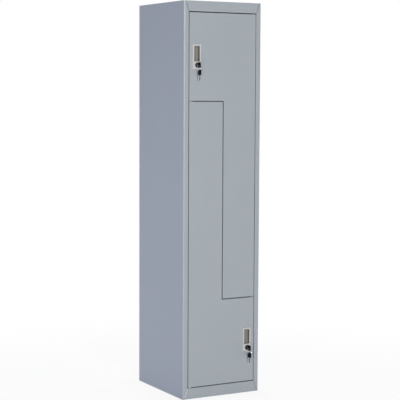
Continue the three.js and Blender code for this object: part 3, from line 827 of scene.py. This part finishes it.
@dataclass
class Lock:
    """The turning pieces of one lock, with the key that stands in it."""

    way: str
    metal_break: float = 0.2 * MM
    bow_break: float = 0.6 * MM

    def build(self) -> None:
        """Builds and dresses every turning piece."""
        for part in ("lock_plug", "lock_cam", "key_blade"):
            fine_copy(f"{self.way}_{part}", self.metal_break)
        CamScrew(self.way).build()
        fine_copy(f"{self.way}_key_bow", self.bow_break, segments=3)


@dataclass
class SpareKey:
    """The spare key that hangs on its ring."""

    way: str
    metal_break: float = 0.15 * MM
    bow_break: float = 0.6 * MM

    def build(self) -> None:
        """Builds and dresses the ring and the spare key."""
        SplitRing(f"{self.way}_key_ring").build()
        fine_copy(f"{self.way}_spare_blade", self.metal_break)
        fine_copy(f"{self.way}_spare_bow", self.bow_break, segments=3)


@dataclass
class Lamp:
    """A soft oblong lamp that looks at the middle of the object."""

    name: str
    swing: float
    rise: float
    distance: float
    broad: float
    tall: float
    level: float
    tint: Colour = WHITE
    mirrored: bool = False
    target: Point = (0.0, 0.0, 0.95)

    def build(self) -> None:
        """Hangs the lamp. A level of one gives a facing surface its own colour."""
        swing = math.radians(self.swing)
        rise = math.radians(self.rise)
        away = Vector(
            (math.sin(swing) * math.cos(rise), -math.cos(swing) * math.cos(rise), math.sin(rise))
        )
        data = bpy.data.lights.new(self.name, "AREA")
        data.shape = "RECTANGLE"
        data.size = self.broad
        data.size_y = self.tall
        data.color = self.tint
        data.energy = self.level * math.pi**2 * self.distance**2
        lamp = bpy.data.objects.new(self.name, data)
        lamp.location = Vector(self.target) + away * self.distance
        lamp.rotation_euler = away.to_track_quat("Z", "Y").to_euler()
        lamp.visible_glossy = self.mirrored
        bpy.context.scene.collection.objects.link(lamp)


@dataclass
class Studio:
    """The pale floor, the light and the camera of the photograph."""

    floor_half: float = 30.0
    floor_glow: float = 0.88
    floor_bounce: Colour = (0.78, 0.78, 0.77)
    shadow_reach: tuple[float, float] = (0.7, 2.2)
    ambient: Colour = (0.03, 0.034, 0.042)
    reflected: Colour = (0.56, 0.6, 0.7)
    lamps: tuple[Lamp, ...] = (
        Lamp("frontal lamp", -9, 10, 12.0, 0.3, 0.3, 0.53, (0.975, 0.99, 1.0), True),
        Lamp("left strip", -41, 0, 3.6, 0.09, 1.8, 0.16, (1.0, 0.97, 0.88), True),
        Lamp("left fill", -98, -6, 4.0, 1.2, 0.8, 0.34, (0.68, 0.71, 0.95)),
        Lamp("right fill", 105, 8, 5.0, 2.5, 2.5, 0.42),
        Lamp("rear fill", 170, 8, 5.0, 2.0, 2.0, 0.6),
        Lamp("overhead fill", 0, 90, 6.0, 0.6, 0.6, 0.27),
    )
    lens: float = 115.3
    sensor_width: float = 36.0
    sight: float = 200.0
    camera_at: Point = (-2.89638, -5.25315, 1.40046)
    yaw: float = 28.8519
    pitch: float = 4.8726
    roll: float = 0.2549

    def build(self) -> None:
        """Builds floor, world, lamps and camera."""
        self.build_floor()
        self.build_world()
        for lamp in self.lamps:
            lamp.build()
        self.build_camera()

    def build_floor(self) -> None:
        """Lays the floor."""
        shape = bmesh.new()
        bmesh.ops.create_grid(shape, x_segments=1, y_segments=1, size=self.floor_half)
        mesh = bpy.data.meshes.new("floor")
        shape.to_mesh(mesh)
        shape.free()
        floor = bpy.data.objects.new("floor", mesh)
        bpy.context.scene.collection.objects.link(floor)
        mesh.materials.append(self.floor_material())

    def floor_material(self) -> bpy.types.Material:
        """Makes the floor matt near the object, where its shadow falls, and glowing far off.

        Returns:
            The material. The camera sees white, reflections see the toned background, and
            other light bounces off a slightly darker, matt floor.
        """
        material = bpy.data.materials.new("pale floor")
        material.use_nodes = True
        graph = Graph(material.node_tree)
        path = graph.add("ShaderNodeLightPath")
        to_camera = path.outputs["Is Camera Ray"]
        matt = graph.add("ShaderNodeBsdfDiffuse")
        paleness = graph.blend(to_camera, self.floor_bounce, WHITE)
        graph.join(paleness, matt.inputs["Color"])
        glow = graph.add("ShaderNodeEmission")
        sheen = graph.blend(to_camera, self.reflected, WHITE)
        graph.join(sheen, glow.inputs["Color"])
        place = graph.add("ShaderNodeTexCoord")
        away = graph.add("ShaderNodeVectorMath", operation="LENGTH")
        graph.join(place.outputs["Object"], away.inputs[0])
        fade = graph.add("ShaderNodeMapRange", interpolation_type="SMOOTHSTEP")
        fade.inputs["From Min"].default_value = self.shadow_reach[0]
        fade.inputs["From Max"].default_value = self.shadow_reach[1]
        fade.inputs["To Min"].default_value = self.floor_glow
        graph.join(away.outputs["Value"], fade.inputs["Value"])
        seen = graph.add("ShaderNodeMath", operation="MAXIMUM")
        graph.join(to_camera, seen.inputs[0])
        graph.join(path.outputs["Is Glossy Ray"], seen.inputs[1])
        share = graph.add("ShaderNodeMath", operation="MULTIPLY")
        graph.join(seen.outputs[0], share.inputs[0])
        graph.join(fade.outputs["Result"], share.inputs[1])
        mix = graph.add("ShaderNodeMixShader")
        graph.join(share.outputs[0], mix.inputs[0])
        graph.join(matt.outputs[0], mix.inputs[1])
        graph.join(glow.outputs[0], mix.inputs[2])
        output = graph.add("ShaderNodeOutputMaterial")
        graph.join(mix.outputs[0], output.inputs["Surface"])
        return material

    def build_world(self) -> None:
        """Makes the world a soft ambient light behind a white background."""
        world = bpy.data.worlds.new("studio")
        world.use_nodes = True
        graph = Graph(world.node_tree)
        output = graph.add("ShaderNodeOutputWorld")
        path = graph.add("ShaderNodeLightPath")
        ground = self.background(graph, self.ambient)
        for rays, colour in (("Is Glossy Ray", self.reflected), ("Is Camera Ray", WHITE)):
            mix = graph.add("ShaderNodeMixShader")
            graph.join(path.outputs[rays], mix.inputs[0])
            graph.join(ground, mix.inputs[1])
            graph.join(self.background(graph, colour), mix.inputs[2])
            ground = mix.outputs[0]
        graph.join(ground, output.inputs["Surface"])
        bpy.context.scene.world = world

    def background(self, graph: Graph, colour: Colour) -> bpy.types.NodeSocket:
        """Adds an even background of one colour and gives its output."""
        node = graph.add("ShaderNodeBackground")
        node.inputs["Color"].default_value = (*colour, 1)
        return node.outputs[0]

    def build_camera(self) -> None:
        """Stands the camera where the photograph was taken from."""
        yaw, pitch, roll = map(math.radians, (self.yaw, self.pitch, self.roll))
        ahead = Vector(
            (math.sin(yaw) * math.cos(pitch), math.cos(yaw) * math.cos(pitch), -math.sin(pitch))
        )
        level = Vector((math.cos(yaw), -math.sin(yaw), 0))
        upright = level.cross(ahead)
        right = level * math.cos(roll) + upright * math.sin(roll)
        up = -level * math.sin(roll) + upright * math.cos(roll)
        data = bpy.data.cameras.new("camera")
        data.lens = self.lens
        data.sensor_width = self.sensor_width
        data.clip_end = self.sight
        camera = bpy.data.objects.new("camera", data)
        turn = Matrix((right, up, -ahead)).transposed().to_4x4()
        camera.matrix_world = Matrix.Translation(self.camera_at) @ turn
        bpy.context.scene.collection.objects.link(camera)
        bpy.context.scene.camera = camera


@dataclass
class Locker:
    """The whole locker, built sub-assembly by sub-assembly."""

    carcass: Carcass = field(default_factory=Carcass)
    ways: tuple[str, ...] = ("upper", "lower")

    def build(self) -> None:
        """Builds the carcass, then each door with its lock and spare key."""
        self.carcass.build()
        for way in self.ways:
            Door(way).build()
            Lock(way).build()
            SpareKey(way).build()


def main() -> None:
    """Builds the scene."""
    logging.basicConfig(level=logging.INFO, format="%(message)s")
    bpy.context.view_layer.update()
    bpy.context.scene.view_settings.view_transform = "Standard"
    Studio().build()
    Locker().build()


if __name__ == "__main__":
    main()
